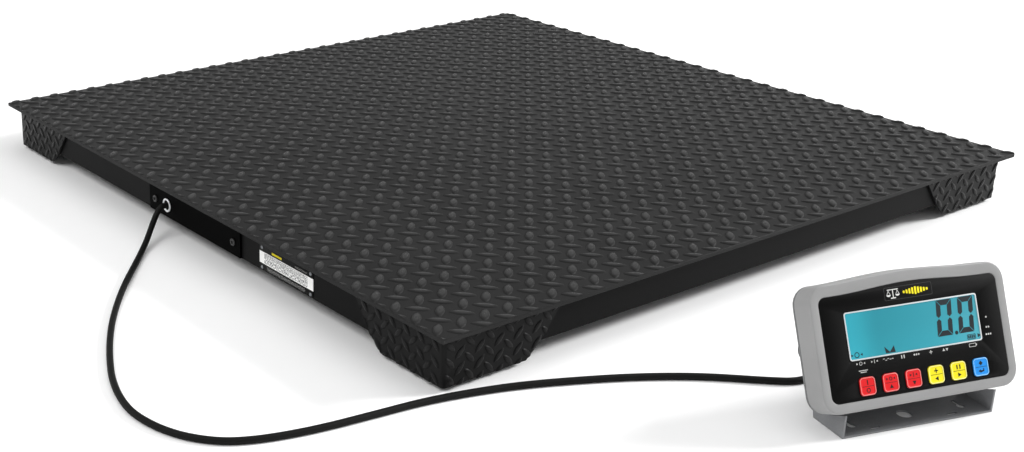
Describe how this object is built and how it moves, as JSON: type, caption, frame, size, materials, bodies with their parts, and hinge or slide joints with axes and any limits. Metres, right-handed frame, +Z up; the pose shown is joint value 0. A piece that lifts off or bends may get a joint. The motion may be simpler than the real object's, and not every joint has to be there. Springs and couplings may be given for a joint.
{
  "type": "pallet scale",
  "caption": "Low square pallet scale with a tread-plate deck on four load cells and levelling feet, cabled to a tilting display indicator on a bracket.",
  "frame": {"origin": "centre of the weighing deck's top face", "axes": "+X along the edge that the cable leaves from, towards the indicator; +Y across the deck away from that edge; +Z up"},
  "size_m": [1.6036, 1.5223, 0.1737],
  "materials": {
    "deck_plate": "black textured coat on tread plate",
    "frame": "semi-gloss black coat",
    "corner_plate": "black coat on tread plate",
    "cover_plate": "gloss black coat",
    "load_cell": "nickel-plated alloy steel",
    "zinc_steel": "zinc-plated",
    "black_steel": "blackened steel",
    "foot_steel": "black coat with a rubber sole",
    "box_steel": "stainless sheet",
    "circuit_board": "green solder mask",
    "gland_plastic": "moulded nylon",
    "cable_jacket": "matt PVC jacket",
    "bright_ring": "nickel plate",
    "bush_rubber": "matt rubber",
    "data_label": "printed plate",
    "rivet_alloy": "plain",
    "stand_coat": "grey powder coat",
    "case_plastic": "fine-textured grey moulding",
    "rear_plastic": "fine-textured grey moulding",
    "seal_rubber": "matt",
    "overlay_film": "satin printed film",
    "display_lens": "clear window over a lit cyan display",
    "display_body": "display module",
    "battery_case": "sealed battery",
    "key_red": "printed key",
    "key_yellow": "printed key",
    "key_blue": "printed key",
    "knob_plastic": "moulded knob on a steel screw"
  },
  "bodies": {
    "platform": {"deck_plate": "deck_plate", "deck_ribs": "frame", "front_rail": "frame", "rear_rail": "frame", "left_rail": "frame", "right_rail": "frame", "corner_plate_front_left": "corner_plate", "corner_plate_front_right": "corner_plate", "corner_plate_rear_left": "corner_plate", "corner_plate_rear_right": "corner_plate", "cell_mount_blocks": "frame", "load_cell_front_left": "load_cell", "load_cell_front_right": "load_cell", "load_cell_rear_left": "load_cell", "load_cell_rear_right": "load_cell", "cell_bolts": "black_steel", "lock_nuts": "zinc_steel", "junction_box": "box_steel", "junction_lid": "box_steel", "junction_board": "circuit_board", "junction_glands": "gland_plastic", "junction_screws": "zinc_steel", "cell_cables": "cable_jacket", "access_cover": "cover_plate", "cover_screws": "black_steel", "outlet_ring": "bright_ring", "outlet_bush": "bush_rubber", "data_plate": "data_label", "plate_rivets": "rivet_alloy", "inner_cable": "cable_jacket", "signal_cable": "cable_jacket", "stand_bracket": "stand_coat"},
    "indicator": {"front_case": "case_plastic", "rear_case": "rear_plastic", "case_seal": "seal_rubber", "case_screws": "zinc_steel", "front_overlay": "overlay_film", "display_window": "display_lens", "display_module": "display_body", "display_board": "circuit_board", "main_board": "circuit_board", "battery": "battery_case", "cable_gland": "gland_plastic", "power_socket": "gland_plastic"},
    "foot_front_left": {"foot_base_front_left": "foot_steel"},
    "stud_front_left": {"foot_stud_front_left": "zinc_steel"},
    "foot_front_right": {"foot_base_front_right": "foot_steel"},
    "stud_front_right": {"foot_stud_front_right": "zinc_steel"},
    "foot_rear_left": {"foot_base_rear_left": "foot_steel"},
    "stud_rear_left": {"foot_stud_rear_left": "zinc_steel"},
    "foot_rear_right": {"foot_base_rear_right": "foot_steel"},
    "stud_rear_right": {"foot_stud_rear_right": "zinc_steel"},
    "key_power": {"key_power": "key_red"},
    "key_zero": {"key_zero": "key_red"},
    "key_tare": {"key_tare": "key_red"},
    "key_memory": {"key_memory": "key_yellow"},
    "key_hold": {"key_hold": "key_yellow"},
    "key_enter": {"key_enter": "key_blue"},
    "knob_left": {"knob_left": "knob_plastic"},
    "knob_right": {"knob_right": "knob_plastic"}
  },
  "joints": [
    {"name": "foot_travel_front_left", "type": "slide", "parent": "platform", "child": "foot_front_left", "axis": [0, 0, -1], "range_m": [0, 0.012]},
    {"name": "stud_turn_front_left", "type": "hinge", "parent": "foot_front_left", "child": "stud_front_left", "pos_m": [-0.505, -0.505, -0.05], "axis": [0, 0, -1], "range_deg": [0, 2469]},
    {"name": "foot_travel_front_right", "type": "slide", "parent": "platform", "child": "foot_front_right", "axis": [0, 0, -1], "range_m": [0, 0.012]},
    {"name": "stud_turn_front_right", "type": "hinge", "parent": "foot_front_right", "child": "stud_front_right", "pos_m": [0.505, -0.505, -0.05], "axis": [0, 0, -1], "range_deg": [0, 2469]},
    {"name": "foot_travel_rear_left", "type": "slide", "parent": "platform", "child": "foot_rear_left", "axis": [0, 0, -1], "range_m": [0, 0.012]},
    {"name": "stud_turn_rear_left", "type": "hinge", "parent": "foot_rear_left", "child": "stud_rear_left", "pos_m": [-0.505, 0.505, -0.05], "axis": [0, 0, -1], "range_deg": [0, 2469]},
    {"name": "foot_travel_rear_right", "type": "slide", "parent": "platform", "child": "foot_rear_right", "axis": [0, 0, -1], "range_m": [0, 0.012]},
    {"name": "stud_turn_rear_right", "type": "hinge", "parent": "foot_rear_right", "child": "stud_rear_right", "pos_m": [0.505, 0.505, -0.05], "axis": [0, 0, -1], "range_deg": [0, 2469]},
    {"name": "indicator_tilt", "type": "hinge", "parent": "platform", "child": "indicator", "pos_m": [0.89913, -0.16281, -0.00044], "axis": [-0.2924, -0.9563, 0], "range_deg": [0, 30]},
    {"name": "key_power_press", "type": "slide", "parent": "indicator", "child": "key_power", "axis": [-0.8667, 0.265, -0.4226], "range_m": [0, 0.0008], "stiffness_N_per_m": 1500},
    {"name": "key_zero_press", "type": "slide", "parent": "indicator", "child": "key_zero", "axis": [-0.8667, 0.265, -0.4226], "range_m": [0, 0.0008], "stiffness_N_per_m": 1500},
    {"name": "key_tare_press", "type": "slide", "parent": "indicator", "child": "key_tare", "axis": [-0.8667, 0.265, -0.4226], "range_m": [0, 0.0008], "stiffness_N_per_m": 1500},
    {"name": "key_memory_press", "type": "slide", "parent": "indicator", "child": "key_memory", "axis": [-0.8667, 0.265, -0.4226], "range_m": [0, 0.0008], "stiffness_N_per_m": 1500},
    {"name": "key_hold_press", "type": "slide", "parent": "indicator", "child": "key_hold", "axis": [-0.8667, 0.265, -0.4226], "range_m": [0, 0.0008], "stiffness_N_per_m": 1500},
    {"name": "key_enter_press", "type": "slide", "parent": "indicator", "child": "key_enter", "axis": [-0.8667, 0.265, -0.4226], "range_m": [0, 0.0008], "stiffness_N_per_m": 1500},
    {"name": "knob_left_turn", "type": "hinge", "parent": "indicator", "child": "knob_left", "pos_m": [0.86639, -0.26992, -0.00044], "axis": [-0.2924, -0.9563, 0], "range_deg": [0, 720]},
    {"name": "knob_right_turn", "type": "hinge", "parent": "indicator", "child": "knob_right", "pos_m": [0.93188, -0.0557, -0.00044], "axis": [0.2924, 0.9563, 0], "range_deg": [0, 720]}
  ],
  "couplings": [
    {"joint": "stud_turn_front_left", "follows": "foot_travel_front_left", "rad_per_m": 3590.4},
    {"joint": "stud_turn_front_right", "follows": "foot_travel_front_right", "rad_per_m": 3590.4},
    {"joint": "stud_turn_rear_left", "follows": "foot_travel_rear_left", "rad_per_m": 3590.4},
    {"joint": "stud_turn_rear_right", "follows": "foot_travel_rear_right", "rad_per_m": 3590.4}
  ]
}
